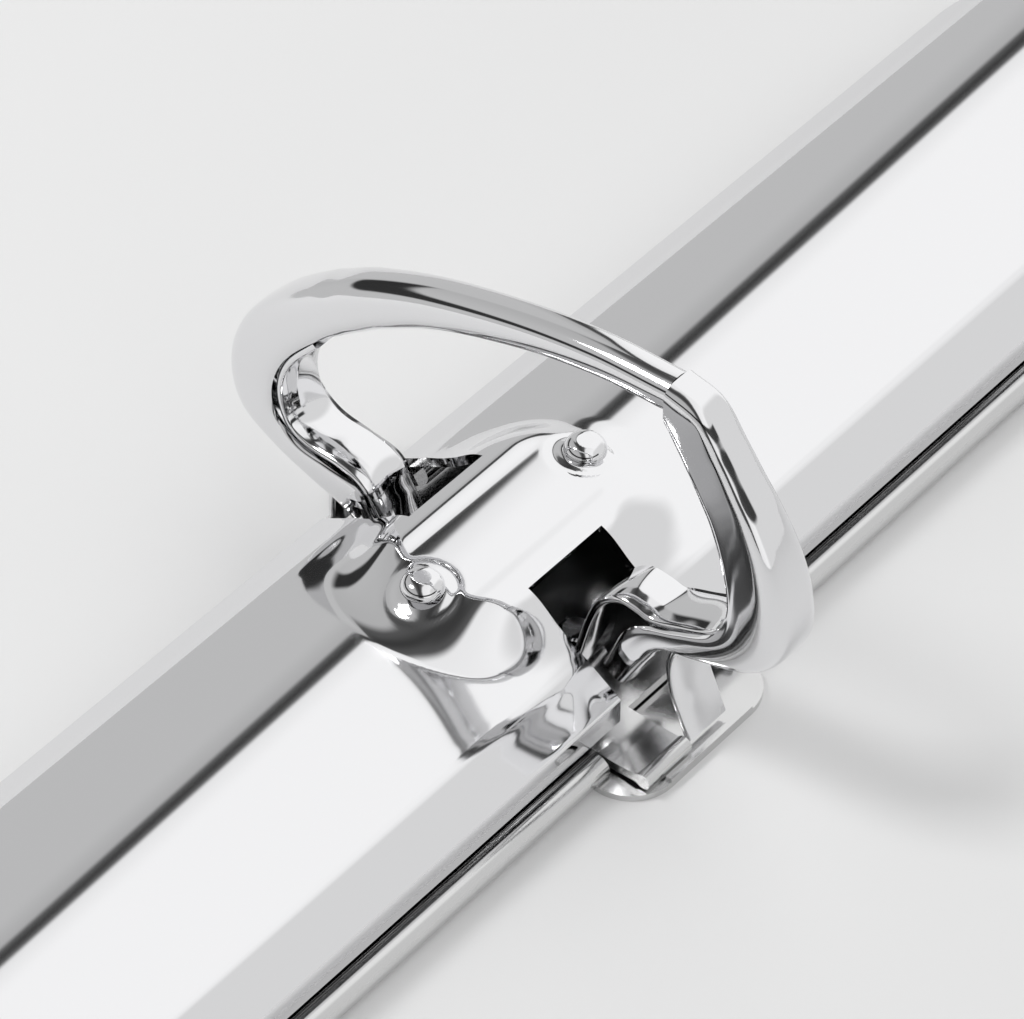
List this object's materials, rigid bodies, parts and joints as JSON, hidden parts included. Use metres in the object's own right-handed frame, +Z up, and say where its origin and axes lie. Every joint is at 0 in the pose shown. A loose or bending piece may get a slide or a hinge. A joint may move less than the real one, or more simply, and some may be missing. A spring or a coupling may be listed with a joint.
{
  "type": "binder ring",
  "caption": "Ring-binder mechanism: a split D-shaped ring on a stamped, arched metal spine, opened by pulling the ring's halves apart.",
  "frame": {"origin": "on the table, under the middle of the ring, at the base plate's underside", "axes": "+Y along the spine, +X across it towards the slanted ring half, +Z up out of the cover"},
  "size_m": [0.0563, 0.17, 0.037],
  "materials": {
    "cover_chrome": "bright chrome plate on stamped steel",
    "ring_chrome": "bright chrome plate on stamped and rolled steel",
    "rivet_chrome": "bright chrome plate",
    "plate_nickel": "nickel plate",
    "spring_steel": "plain spring steel"
  },
  "bodies": {
    "spine": {"cover": "cover_chrome", "base_plate": "plate_nickel", "leaf_spring": "spring_steel", "front_dome_rivet": "rivet_chrome", "rear_dome_rivet": "rivet_chrome", "front_eyelet": "rivet_chrome", "rear_eyelet": "rivet_chrome", "front_spacer": "plate_nickel", "rear_spacer": "plate_nickel"},
    "left_half": {"left_toggle_plate": "plate_nickel", "left_ring_shell": "ring_chrome", "left_leg": "ring_chrome", "left_leg_rivets": "rivet_chrome"},
    "right_half": {"right_toggle_plate": "plate_nickel", "right_ring_shell": "ring_chrome", "right_leg": "ring_chrome", "right_leg_rivets": "rivet_chrome"}
  },
  "joints": [
    {"name": "right_hinge", "type": "hinge", "parent": "spine", "child": "right_half", "pos_m": [0.0195, 0, 0.00145], "axis": [0, 1, 0], "range_deg": [0, 15]},
    {"name": "left_hinge", "type": "hinge", "parent": "spine", "child": "left_half", "pos_m": [-0.0168, 0, 0.00145], "axis": [0, -1, 0], "range_deg": [0, 17.5]}
  ],
  "couplings": [
    {"joint": "left_hinge", "follows": "right_hinge", "ratio": 1.16}
  ]
}
